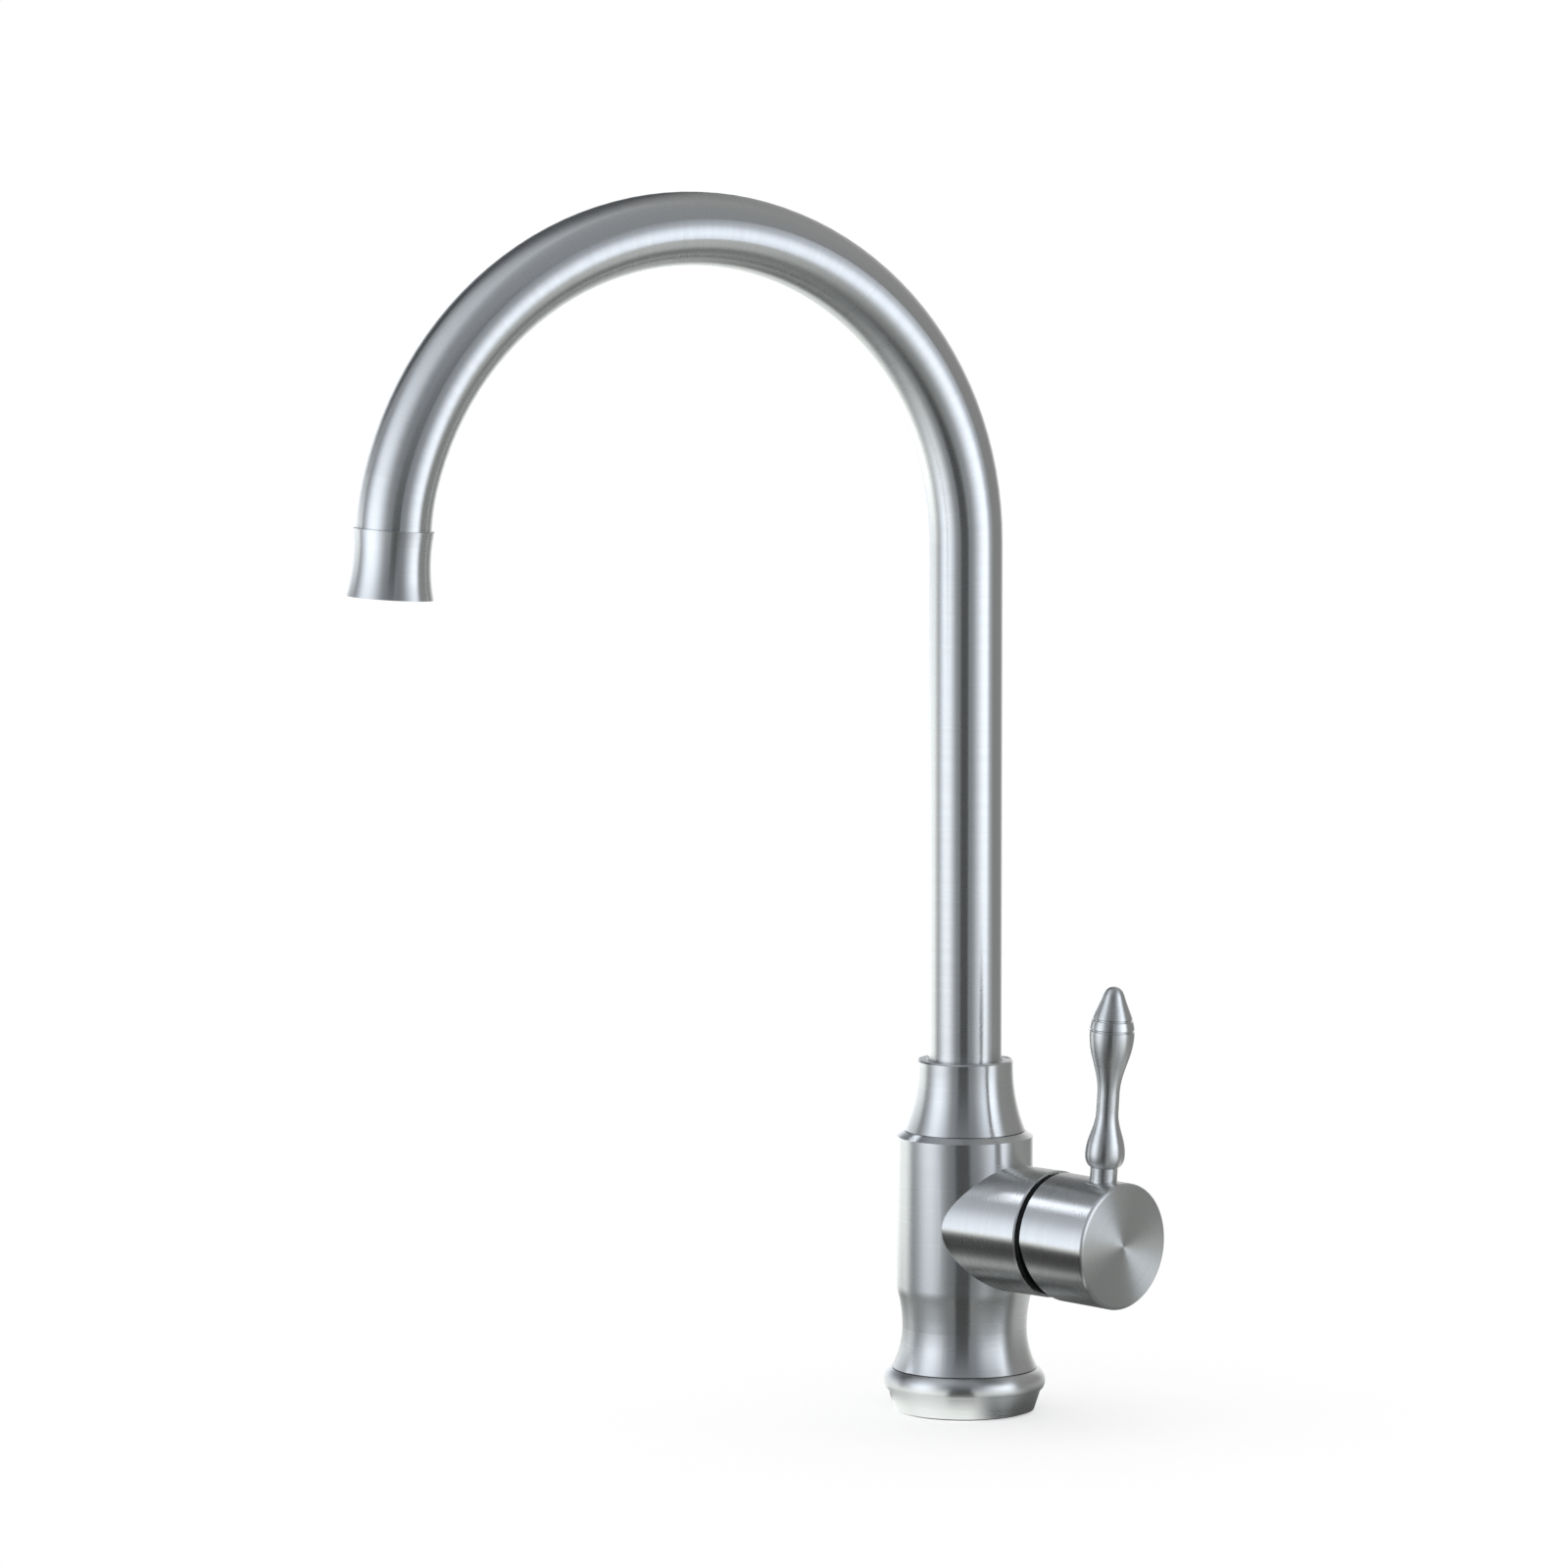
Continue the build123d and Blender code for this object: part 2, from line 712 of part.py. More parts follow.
# Rotor with the tongue channel, stem slot, pin hole and seal groove
rotor_seal_distance = (housing_ceiling + housing_shoulder) / 2
rotor_groove_width = rotor_seal_section + run_gap
stem_slot_width = stem_thickness + swing_gap
with BuildPart() as cartridge_rotor:
    with BuildSketch(across_valve(flange_bottom)):
        Circle(housing_bore_radius - run_gap)
    extrude(amount=rotor_flange_thickness)
    with BuildSketch(across_valve(flange_top)):
        Circle(rotor_radius)
    extrude(amount=rotor_top - flange_top)
    with BuildSketch(across_valve(flange_bottom)):
        Rectangle(2 * cartridge_radius, tongue_width + 2 * run_gap)
    extrude(amount=tongue_height, mode=Mode.SUBTRACT)
    with BuildSketch(across_valve(flange_bottom)):
        Rectangle(rotor_slot_length, stem_slot_width)
    extrude(amount=rotor_top - flange_bottom, mode=Mode.SUBTRACT)
    with BuildSketch(valve_section.offset(-rotor_radius)):
        with Locations((pivot_distance, 0)):
            Circle(pin_radius + press_gap)
    extrude(amount=2 * rotor_radius, mode=Mode.SUBTRACT)
    with BuildSketch(across_valve(rotor_seal_distance - rotor_groove_width / 2)):
        Circle(rotor_radius + run_gap)
        Circle(rotor_radius - rotor_seal_section, mode=Mode.SUBTRACT)
    extrude(amount=rotor_groove_width, mode=Mode.SUBTRACT)

with BuildPart() as rotor_o_ring:
    with BuildSketch(valve_section):
        with Locations((rotor_seal_distance, rotor_radius - rotor_seal_section / 2 + fit_gap)):
            Circle(rotor_seal_section / 2)
    revolve(axis=valve_axis)

pin_length = 2 * (rotor_radius - swing_gap)
with BuildPart() as pivot_pin:
    with BuildSketch(valve_section.offset(-pin_length / 2)):
        with Locations((pivot_distance, 0)):
            Circle(pin_radius)
    extrude(amount=pin_length)

# Stem: square shank, pivot hole, slim neck and ball
shank_start = pivot_distance - stem_shoulder
with BuildPart() as stem:
    with BuildSketch(across_handle(shank_start)):
        Rectangle(stem_width, stem_thickness)
    extrude(amount=stem_end - shank_start)
    with BuildSketch(across_handle(ball_distance)):
        Circle(stem_neck_radius)
    extrude(amount=shank_start - ball_distance)
    with BuildSketch(handle_section):
        with BuildLine():
            Line((ball_distance - ball_radius, 0), (ball_distance + ball_radius, 0))
            ThreePointArc(
                (ball_distance - ball_radius, 0),
                (ball_distance, ball_radius),
                (ball_distance + ball_radius, 0),
            )
        make_face()
    revolve(axis=handle_axis)
    with BuildSketch(handle_section.offset(-stem_thickness)):
        with Locations((pivot_distance, 0)):
            Circle(pin_radius + fit_gap)
    extrude(amount=2 * stem_thickness, mode=Mode.SUBTRACT)

# Cartridge nut: threaded ring with a hexagonal head
hex_start = housing_shoulder + nut_thread_length
with BuildPart() as cartridge_nut:
    with BuildSketch(across_valve(housing_shoulder)):
        Circle(nut_thread_radius)
    extrude(amount=nut_thread_length)
    with BuildSketch(across_valve(hex_start)):
        RegularPolygon(nut_thread_radius, 6)
    extrude(amount=nut_hex_length)
    with BuildSketch(across_valve(housing_shoulder)):
        Circle(housing_neck_radius + nut_bore_gap)
    extrude(amount=nut_top - housing_shoulder, mode=Mode.SUBTRACT)

# Bonnet ring: a ball-shaped cover centred on the pivot
inner_sphere = bonnet_sphere_radius - bonnet_thickness
bonnet_inner_radius = bonnet_radius - bonnet_thickness
flange_face = barrel_end + bonnet_flange_thickness
dome_root_radius = sqrt(bonnet_sphere_radius**2 - (flange_face - pivot_distance) ** 2)
inner_skirt_end = pivot_distance + sqrt(inner_sphere**2 - bonnet_inner_radius**2)
hole_edge = pivot_distance + sqrt(bonnet_sphere_radius**2 - bonnet_hole_radius**2)
inner_hole_edge = pivot_distance + sqrt(inner_sphere**2 - bonnet_hole_radius**2)
with BuildPart() as bonnet_ring:
    with BuildSketch(valve_section):
        with BuildLine():
            RadiusArc(
                (flange_face, dome_root_radius),
                (hole_edge, bonnet_hole_radius),
                bonnet_sphere_radius,
            )
            Line((hole_edge, bonnet_hole_radius), (inner_hole_edge, bonnet_hole_radius))
            RadiusArc(
                (inner_hole_edge, bonnet_hole_radius),
                (inner_skirt_end, bonnet_inner_radius),
                -inner_sphere,
            )
            Polyline(
                (inner_skirt_end, bonnet_inner_radius),
                (bonnet_seat, bonnet_inner_radius),
                (bonnet_seat, bonnet_radius),
                (barrel_end, bonnet_radius),
                (barrel_end, bonnet_flange_radius),
                (flange_face, bonnet_flange_radius),
                (flange_face, dome_root_radius),
            )
        make_face()
    revolve(axis=valve_axis)

# Handle drum: cup, hub, bosses, stem socket, lever seat and screw hole
face_inside = drum_face - drum_face_thickness
drum_root = drum_back - 2 * drum_radius * droop_sine
with BuildPart() as handle_drum:
    with BuildSketch(handle_section):
        with BuildLine():
            Polyline(
                (drum_root, drum_radius),
                (drum_root, drum_inner_radius),
                (face_inside, drum_inner_radius),
                (face_inside, hub_radius),
                (hub_back, hub_radius),
                (hub_back, 0),
                (drum_face, 0),
                (drum_face, drum_radius),
                close=True,
            )
        make_face()
    revolve(axis=handle_axis)
    fillet(handle_drum.edges().filter_by(GeomType.CIRCLE).sort_by(handle_axis)[-1], drum_edge)
    # Back edge cut parallel to the barrel's rim
    with BuildSketch(across_valve(drum_back)):
        Circle(2 * drum_radius)
    extrude(amount=-drum_length, mode=Mode.SUBTRACT)
    with BuildSketch(across_lever(0)):
        Circle(boss_radius)
    extrude(amount=lever_seat)
    with BuildSketch(below_drum_axis(0)):
        Circle(boss_radius)
    extrude(amount=drum_inner_radius)
    with BuildSketch(across_handle(hub_back)):
        Rectangle(stem_width + 2 * fit_gap, stem_thickness + 2 * fit_gap)
    extrude(amount=stem_engagement + swing_gap, mode=Mode.SUBTRACT)
    with BuildSketch(across_lever(lever_seat)):
        Circle(lever_neck_radius + fit_gap)
    extrude(amount=drum_radius, mode=Mode.SUBTRACT)
    with BuildSketch(across_lever(0)):
        Circle(lever_thread_radius + fit_gap)
    extrude(amount=drum_radius, mode=Mode.SUBTRACT)
    with BuildSketch(below_drum_axis(0)):
        Circle(screw_radius + fit_gap)
    extrude(amount=drum_radius + drum_edge, mode=Mode.SUBTRACT)

# Lever: threaded tail, neck, bulb, slim waist and acorn head
lever_tail = (screw_tip + lever_thread_radius * lean_sine) / lean_cosine
with BuildPart() as lever:
    with BuildSketch(lever_section):
        with BuildLine():
            Polyline(
                (0, lever_tip_height),
                (0, lever_tail),
                (lever_thread_radius, lever_tail),
                (lever_thread_radius, lever_seat),
                (lever_neck_radius, lever_seat),
                (lever_neck_radius, lever_neck_top),
            )
            Spline(
                (lever_neck_radius, lever_neck_top),
                (lever_bulb_radius, lever_bulb_height),
                tangents=((1, lever_bulb_slope), (0, 1)),
            )
            Spline(
                (lever_bulb_radius, lever_bulb_height),
                (lever_waist_radius, lever_waist_low),
                tangents=((0, 1), (0, 1)),
            )
            Line((lever_waist_radius, lever_waist_low), (lever_waist_radius, lever_waist_high))
            Spline(
                (lever_waist_radius, lever_waist_high),
                (lever_head_radius, lever_head_height),
                tangents=((0, 1), (0, 1)),
            )
            head_curve = Spline(
                (lever_head_radius, lever_head_height),
                (lever_brow_radius, lever_brow_height),
                (lever_crown_radius, lever_crown_height),
                (0, lever_tip_height),
                tangents=((0, 1), (-1, 0)),
            )
        make_face()
    revolve(axis=lever_axis)
    with BuildSketch(lever_section):
        with Locations(head_curve @ groove_low_share, head_curve @ groove_high_share):
            Circle(groove_depth)
    revolve(axis=lever_axis, mode=Mode.SUBTRACT)

# Set screw under the handle
with BuildPart() as handle_set_screw:
    with BuildSketch(below_drum_axis(screw_tip)):
        Circle(screw_radius)
    extrude(amount=screw_length)
    with BuildSketch(below_drum_axis(screw_tip + screw_length)):
        RegularPolygon(screw_socket / 2, 6, major_radius=False)
    extrude(amount=-screw_socket_depth, mode=Mode.SUBTRACT)

pieces = {
    "faucet_body": faucet_body,
    "base_ring": base_ring,
    "base_gasket": base_gasket,
    "inlet_block": inlet_block,
    "neck_collar": neck_collar,
    "lower_swivel_ring": lower_swivel_ring,
    "upper_swivel_ring": upper_swivel_ring,
    "spout_tube": spout_tube,
    "spout_tail": spout_tail,
    "spout_o_rings": spout_o_rings,
    "aerator_shell": aerator_shell,
    "aerator_gasket": aerator_gasket,
    "aerator_insert": aerator_insert,
    "aerator_screen": aerator_screen,
    "cartridge_base": cartridge_base,
    "port_seals": port_seals,
    "fixed_disc": fixed_disc,
    "moving_disc": moving_disc,
    "disc_carrier": disc_carrier,
    "cartridge_housing": cartridge_housing,
    "cartridge_rotor": cartridge_rotor,
    "rotor_o_ring": rotor_o_ring,
    "pivot_pin": pivot_pin,
    "stem": stem,
    "cartridge_nut": cartridge_nut,
    "bonnet_ring": bonnet_ring,
    "handle_drum": handle_drum,
    "lever": lever,
    "handle_set_screw": handle_set_screw,
}
os.makedirs("parts", exist_ok=True)
for name, piece in pieces.items():
    piece.part.label = name
    export_step(piece.part, f"parts/{name}.step")
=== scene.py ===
from math import cos, pi, radians, sin

import bmesh
import bpy
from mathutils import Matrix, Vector


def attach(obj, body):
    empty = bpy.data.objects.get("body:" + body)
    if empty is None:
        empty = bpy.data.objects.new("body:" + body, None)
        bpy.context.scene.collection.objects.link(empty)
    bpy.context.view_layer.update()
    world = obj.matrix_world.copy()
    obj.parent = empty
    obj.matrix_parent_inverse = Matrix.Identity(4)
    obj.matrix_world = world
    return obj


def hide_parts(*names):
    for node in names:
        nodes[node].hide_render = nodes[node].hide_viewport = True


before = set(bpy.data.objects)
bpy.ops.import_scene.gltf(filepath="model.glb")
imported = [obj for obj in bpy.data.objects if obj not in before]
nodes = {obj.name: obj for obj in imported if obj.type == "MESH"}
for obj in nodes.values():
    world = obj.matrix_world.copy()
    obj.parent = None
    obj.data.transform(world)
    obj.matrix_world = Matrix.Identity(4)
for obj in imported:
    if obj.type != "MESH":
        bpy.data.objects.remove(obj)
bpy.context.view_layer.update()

# Axes of the turned pieces, in metres, as in the CAD frame
up = Vector((0, 0, 1))
column_origin = Vector((0, 0, 0))
body_radius = 0.0233
barrel_low = 0.0395
valve_angle = radians(-72)
valve_axis = Vector((cos(valve_angle), sin(valve_angle), 0))
valve_origin = Vector((0, 0, 0.0653))
pivot_distance = 0.0304
handle_droop = radians(1.5)
handle_axis = valve_axis * cos(handle_droop) - up * sin(handle_droop)
handle_up = up * cos(handle_droop) + valve_axis * sin(handle_droop)
handle_origin = valve_origin + (valve_axis - handle_axis) * pivot_distance
drum_face = 0.0725
drum_edge = 0.0014
drum_radius = 0.02165
lever_distance = 0.0618
lever_lean = radians(2.5)
lever_axis = handle_up * cos(lever_lean) + handle_axis * sin(lever_lean)
lever_origin = handle_origin + handle_axis * lever_distance
bend_radius = 0.109
bend_centre = Vector((-bend_radius, 0, 0.299))
outlet_origin = Vector((-0.21679, 0, 0.31166))
outlet_angle = radians(176)
outlet_axis = Vector((-sin(outlet_angle), 0, cos(outlet_angle)))

# Camera of the photograph
camera_azimuth = radians(-28.6)
camera_elevation = radians(6.28)
camera_distance = 3.2
camera_lens = 215.28
sensor_width = 36
clip_end = 100
target_right = -0.0620
target_height = 0.2161
camera_right = Vector((cos(camera_azimuth), sin(camera_azimuth), 0))
camera_side = Vector((sin(camera_azimuth), -cos(camera_azimuth), 0))
camera_target = camera_right * target_right + up * target_height

in_degrees = 180 / pi


class Graph:
    """Short calls for making and linking the nodes of one shader tree."""

    def __init__(self, tree):
        self.tree = tree
        tree.nodes.clear()

    def node(self, kind, **settings):
        made = self.tree.nodes.new("ShaderNode" + kind)
        for key, value in settings.items():
            setattr(made, key, value)
        return made

    def feed(self, socket, value):
        if isinstance(value, bpy.types.NodeSocket):
            self.tree.links.new(value, socket)
        else:
            socket.default_value = value

    def feed_all(self, made, values):
        for socket, value in zip(made.inputs, values):
            self.feed(socket, value)
        return made

    def math(self, operation, *values):
        return self.feed_all(self.node("Math", operation=operation), values).outputs[0]

    def add(self, total, *others):
        for other in others:
            total = self.math("ADD", total, other)
        return total

    def times(self, product, *others):
        for other in others:
            product = self.math("MULTIPLY", product, other)
        return product

    def above(self, a, b):
        return self.math("GREATER_THAN", a, b)

    def below(self, a, b):
        return self.math("LESS_THAN", a, b)

    def vector(self, operation, *values):
        made = self.feed_all(self.node("VectorMath", operation=operation), values)
        return made.outputs["Value" if operation in ("DOT_PRODUCT", "LENGTH") else "Vector"]

    def scaled(self, a, factor):
        made = self.node("VectorMath", operation="SCALE")
        self.feed(made.inputs[0], a)
        self.feed(made.inputs["Scale"], factor)
        return made.outputs["Vector"]

    def combine(self, x, y, z):
        return self.feed_all(self.node("CombineXYZ"), (x, y, z)).outputs[0]

    def split(self, vector):
        return self.feed_all(self.node("SeparateXYZ"), (vector,)).outputs

    def ramp(self, value, start, end, low=0.0, high=1.0):
        """Smooth change from low at start to high at end."""
        made = self.node("MapRange", interpolation_type="SMOOTHSTEP")
        self.feed(made.inputs["Value"], value)
        made.inputs["From Min"].default_value = start
        made.inputs["From Max"].default_value = end
        made.inputs["To Min"].default_value = low
        made.inputs["To Max"].default_value = high
        return made.outputs["Result"]

    def window(self, value, start, full, fade, end):
        """One from full to fade, nothing before start and after end."""
        return self.times(self.ramp(value, start, full), self.ramp(value, fade, end, 1.0, 0.0))

    def mix(self, factor, a, b):
        made = self.node("Mix", data_type="FLOAT")
        self.feed(made.inputs[0], factor)
        self.feed(made.inputs[2], a)
        self.feed(made.inputs[3], b)
        return made.outputs[0]

    def mix_vector(self, factor, a, b):
        made = self.node("Mix", data_type="VECTOR")
        self.feed(made.inputs[0], factor)
        self.feed(made.inputs[4], a)
        self.feed(made.inputs[5], b)
        return made.outputs[1]

    def noise(self, vector, scale, detail=2.0, roughness=0.5):
        made = self.node("TexNoise")
        self.feed(made.inputs["Vector"], vector)
        made.inputs["Scale"].default_value = scale
        made.inputs["Detail"].default_value = detail
        made.inputs["Roughness"].default_value = roughness
        return made.outputs[0]

    def position(self):
        return self.node("TexCoord").outputs["Object"]

    def both(self, a, b):
        """Two shaders added."""
        return self.feed_all(self.node("AddShader"), (a, b)).outputs[0]

    def show(self, surface, kind="OutputMaterial"):
        self.feed(self.node(kind).inputs["Surface"], surface)


def new_material(name):
    material = bpy.data.materials.new(name)
    material.use_nodes = True
    return material, Graph(material.node_tree)


def new_object(name, data):
    made = bpy.data.objects.new(name, data)
    bpy.context.scene.collection.objects.link(made)
    return made


# Grain: noise coordinates stretched along the brushing, and the direction across it
grain_round = 0.02
weld_margin = 0.0002
face_margin = drum_edge * 0.3


def from_axis(graph, origin, axis):
    """Place seen from an origin, and its distance along an axis."""
    away = graph.vector("SUBTRACT", graph.position(), tuple(origin))
    return away, graph.vector("DOT_PRODUCT", away, tuple(axis))


def straight_grain(graph, origin, axis):
    """Brushed round a straight axis."""
    away, along = from_axis(graph, origin, axis)
    shrunk = graph.scaled(away, grain_round)
    return graph.vector("ADD", shrunk, graph.scaled(tuple(axis), along)), tuple(axis)


def face_grain(graph, origin, axis):
    """Spun in rings on a flat face."""
    away, along = from_axis(graph, origin, axis)
    radial = graph.vector("SUBTRACT", away, graph.scaled(tuple(axis), along))
    outward = graph.vector("NORMALIZE", radial)
    rings = graph.combine(graph.vector("LENGTH", radial), 0.0, 0.0)
    return graph.vector("ADD", graph.scaled(outward, grain_round * drum_radius), rings), outward


def spout_grain(graph):
    """Brushed round the tube along its riser and bend."""
    away = graph.vector("SUBTRACT", graph.position(), tuple(bend_centre))
    x, y, z = graph.split(away)
    angle = graph.math("ARCTAN2", z, x)
    riser = graph.times(graph.below(z, 0.0), graph.above(x, 0.0))
    depth = graph.math("SQRT", graph.add(graph.times(x, x), graph.times(z, z)))
    along = graph.mix(riser, graph.times(angle, bend_radius), z)
    across = graph.mix(riser, depth, x)
    place = graph.combine(graph.times(across, grain_round), graph.times(y, grain_round), along)
    sine, cosine = graph.math("SINE", angle), graph.math("COSINE", angle)
    turn = graph.combine(graph.times(sine, -1.0), 0.0, cosine)
    return place, graph.mix_vector(riser, turn, tuple(up))


def body_grain(graph):
    """Column and barrel, each brushed round its own axis."""
    column, column_way = straight_grain(graph, column_origin, up)
    barrel, barrel_way = straight_grain(graph, valve_origin, valve_axis)
    x, y, z = graph.split(graph.position())
    reach = graph.math("SQRT", graph.add(graph.times(x, x), graph.times(y, y)))
    on_barrel = graph.times(
        graph.above(reach, body_radius + weld_margin), graph.above(z, barrel_low)
    )
    place = graph.mix_vector(on_barrel, column, barrel)
    return place, graph.mix_vector(on_barrel, column_way, barrel_way)


def drum_grain(graph):
    """Drum brushed round its side, with a spun face."""
    side, side_way = straight_grain(graph, handle_origin, handle_axis)
    face, face_way = face_grain(graph, handle_origin, handle_axis)
    along = from_axis(graph, handle_origin, handle_axis)[1]
    on_face = graph.above(along, drum_face - face_margin)
    place = graph.mix_vector(on_face, side, face)
    return place, graph.mix_vector(on_face, side_way, face_way)


# Materials: the parts of the noise that carry the changes of colour and roughness
colour_span = (0.3, 0.7)
roughness_span = (0.25, 0.75)


def shades(colour, darker, lighter):
    """Dark and light version of a colour."""
    return [
        tuple(min(1.0, channel * (1 + change)) for channel in colour)
        for change in (-darker, lighter)
    ]


def shader(graph, colour_noise, colours, roughness_noise, roughness, height, depth):
    """Principled shader with colour, roughness and bump from noise."""
    principled = graph.node("BsdfPrincipled")
    ramp = graph.node("ValToRGB")
    for element, colour, position in zip(ramp.color_ramp.elements, colours, colour_span):
        element.color = (*colour, 1.0)
        element.position = position
    graph.feed(ramp.inputs[0], colour_noise)
    graph.feed(principled.inputs["Base Color"], ramp.outputs[0])
    rough = graph.ramp(roughness_noise, *roughness_span, *roughness)
    graph.feed(principled.inputs["Roughness"], rough)
    bump = graph.node("Bump")
    bump.inputs["Strength"].default_value = 1.0
    bump.inputs["Distance"].default_value = depth
    graph.feed(bump.inputs["Height"], height)
    graph.feed(principled.inputs["Normal"], bump.outputs[0])
    graph.show(principled.outputs[0])
    return principled


steel_colour = (0.63, 0.635, 0.63)
steel_spread = 0.012
steel_roughness = 0.28
steel_anisotropy = 1.0
line_scale, band_scale, cloud_scale = 2600.0, 420.0, 60.0
line_share, band_share, cloud_share = 0.3, 0.3, 0.4
line_depth = 0.00000012


def steel(name, grain):
    """Satin stainless steel: fine brush lines and reflections drawn out across them."""
    material, graph = new_material(name)
    place, way = grain(graph)
    lines = graph.noise(place, line_scale, 3.0, 0.6)
    bands = graph.noise(place, band_scale)
    clouds = graph.noise(graph.position(), cloud_scale)
    tone = graph.add(
        graph.times(lines, line_share),
        graph.add(graph.times(bands, band_share), graph.times(clouds, cloud_share)),
    )
    colours = shades(steel_colour, steel_spread, steel_spread)
    roughness = (steel_roughness - steel_spread, steel_roughness + steel_spread)
    principled = shader(graph, tone, colours, bands, roughness, lines, line_depth)
    principled.inputs["Metallic"].default_value = 1.0
    principled.inputs["Anisotropic"].default_value = steel_anisotropy
    turn = graph.node(
        "VectorTransform", vector_type="VECTOR", convert_from="OBJECT", convert_to="WORLD"
    )
    graph.feed(turn.inputs[0], way)
    graph.feed(principled.inputs["Tangent"], turn.outputs[0])
    return material


patch_share = 0.12


def grainy(name, colour, spread, roughness, size, depth):
    """Moulded or pressed surface with an even fine grain."""
    material, graph = new_material(name)
    place = graph.position()
    fine = graph.noise(place, 1.0 / size, 4.0, 0.6)
    wide = graph.noise(place, patch_share / size)
    shader(graph, wide, shades(colour, spread, spread), fine, roughness, fine, depth)
    return material


turning_scale = 1800.0
turning_darker, turning_lighter = 0.08, 0.06
turning_depth = 0.000006


def turned(name, colour, roughness, origin, axis):
    """Machined metal with turning lines round an axis."""
    material, graph = new_material(name)
    lines = graph.noise(straight_grain(graph, origin, axis)[0], turning_scale)
    colours = shades(colour, turning_darker, turning_lighter)
    principled = shader(graph, lines, colours, lines, roughness, lines, turning_depth)
    principled.inputs["Metallic"].default_value = 1.0
    return material


def dress(material, *names):
    for name in names:
        mesh = nodes[name].data
        mesh.materials.clear()
        mesh.materials.append(material)


def steel_round(name, origin, axis):
    return steel(name, lambda graph: straight_grain(graph, origin, axis))


column_steel = steel_round("steel_column", column_origin, up)
dress(steel("steel_body", body_grain), "faucet_body")
dress(column_steel, "base_ring", "neck_collar")
dress(steel("steel_spout", spout_grain), "spout_tube")
dress(steel_round("steel_aerator", outlet_origin, outlet_axis), "aerator_shell")
drum_steel = steel("steel_drum", drum_grain)
dress(drum_steel, "handle_drum")
dress(steel_round("steel_lever", lever_origin, lever_axis), "lever")

# Handle drum with its lower back edge cut on a slant, which leaves room for the tilt
drum_back = 0.0446
back_slant = radians(13)
merge_distance = 0.000001
near_surface = 0.00002
flat_end = 0.999
flat_side = 0.9


def drum_normal(spot, flat):
    """Normal of the drum's turned outside at a point, elsewhere the flat face's own."""
    away = spot - handle_origin
    along = away.dot(handle_axis)
    radial = away - handle_axis * along
    outward = radial.normalized()
    inside = radial.length < drum_radius - drum_edge - near_surface
    if inside or flat.dot(handle_axis) > flat_end:
        return flat
    at_edge = along > drum_face - drum_edge - near_surface
    if at_edge and flat.dot(outward + handle_axis) > 0:
        centre = outward * (drum_radius - drum_edge) + handle_axis * (drum_face - drum_edge)
        return (away - centre).normalized()
    on_side = radial.length > drum_radius - near_surface and flat.dot(outward) > flat_side
    return outward if on_side else flat


def slanted_drum():
    """Copy of the drum's mesh without the wedge at its lower back edge."""
    shape = bmesh.new()
    shape.from_mesh(nodes["handle_drum"].data)
    bmesh.ops.remove_doubles(shape, verts=shape.verts[:], dist=merge_distance)
    cut = bmesh.ops.bisect_plane(
        shape,
        geom=shape.verts[:] + shape.edges[:] + shape.faces[:],
        dist=merge_distance / 10,
        plane_co=valve_origin + valve_axis * drum_back,
        plane_no=valve_axis * cos(back_slant) + up * sin(back_slant),
        clear_inner=True,
    )
    rim = [item for item in cut["geom_cut"] if isinstance(item, bmesh.types.BMEdge)]
    bmesh.ops.holes_fill(shape, edges=rim, sides=0)
    mesh = bpy.data.meshes.new("handle_drum_slanted")
    shape.to_mesh(mesh)
    shape.free()
    mesh.polygons.foreach_set("use_smooth", [True] * len(mesh.polygons))
    spots = [vertex.co.copy() for vertex in mesh.vertices]
    mesh.normals_split_custom_set([
        drum_normal(spots[index], face.normal)
        for face in mesh.polygons for index in face.vertices
    ])
    mesh.materials.append(drum_steel)
    made = new_object(mesh.name, mesh)
    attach(made, "handle")
    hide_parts("handle_drum")
    return made


cut_drum = slanted_drum()

# Inner pieces, seals and plastic
brass = (0.71, 0.57, 0.29)
plain_steel = (0.55, 0.55, 0.55)
brass_rough = (0.22, 0.32)
steel_rough = (0.25, 0.35)
screen_rough = (0.3, 0.4)
black_specular = 0.15
for name, colour, roughness, origin, axis, pieces in (
    ("brass_column", brass, brass_rough, column_origin, up, ("inlet_block", "spout_tail")),
    ("brass_nut", brass, brass_rough, valve_origin, valve_axis, ("cartridge_nut",)),
    ("steel_stem", plain_steel, steel_rough, handle_origin, handle_axis, ("stem", "pivot_pin")),
    ("steel_screw", plain_steel, steel_rough, lever_origin, handle_up, ("handle_set_screw",)),
    ("steel_screen", plain_steel, screen_rough, outlet_origin, outlet_axis, ("aerator_screen",)),
):
    dress(turned(name, colour, roughness, origin, axis), *pieces)
dress(
    grainy("rubber_black", (0.03, 0.03, 0.031), 0.25, (0.6, 0.8), 0.0004, 0.00003),
    "base_gasket", "spout_o_rings", "aerator_gasket", "port_seals", "rotor_o_ring",
)
# Bonnet ring in near-black plastic: its own colour, which also paints the shade in the gap between
# barrel and drum, also where the gap shows through the drum's slanted cut
black_plastic_and_gap_shade = grainy(
    "plastic_black_gap_shade", (0.005, 0.005, 0.0055), 0.2, (0.5, 0.62), 0.0005, 0.00001
)
black_shader = black_plastic_and_gap_shade.node_tree.nodes["Principled BSDF"]
black_shader.inputs["Specular IOR Level"].default_value = black_specular
dress(black_plastic_and_gap_shade, "bonnet_ring")
dress(
    grainy("plastic_pale", (0.78, 0.78, 0.75), 0.03, (0.35, 0.48), 0.0008, 0.00001),
    "lower_swivel_ring", "upper_swivel_ring", "aerator_insert", "cartridge_base",
    "cartridge_housing", "cartridge_rotor", "disc_carrier",
)
dress(
    grainy("ceramic_white", (0.84, 0.83, 0.8), 0.02, (0.12, 0.2), 0.0003, 0.000003),
    "fixed_disc", "moving_disc",
)


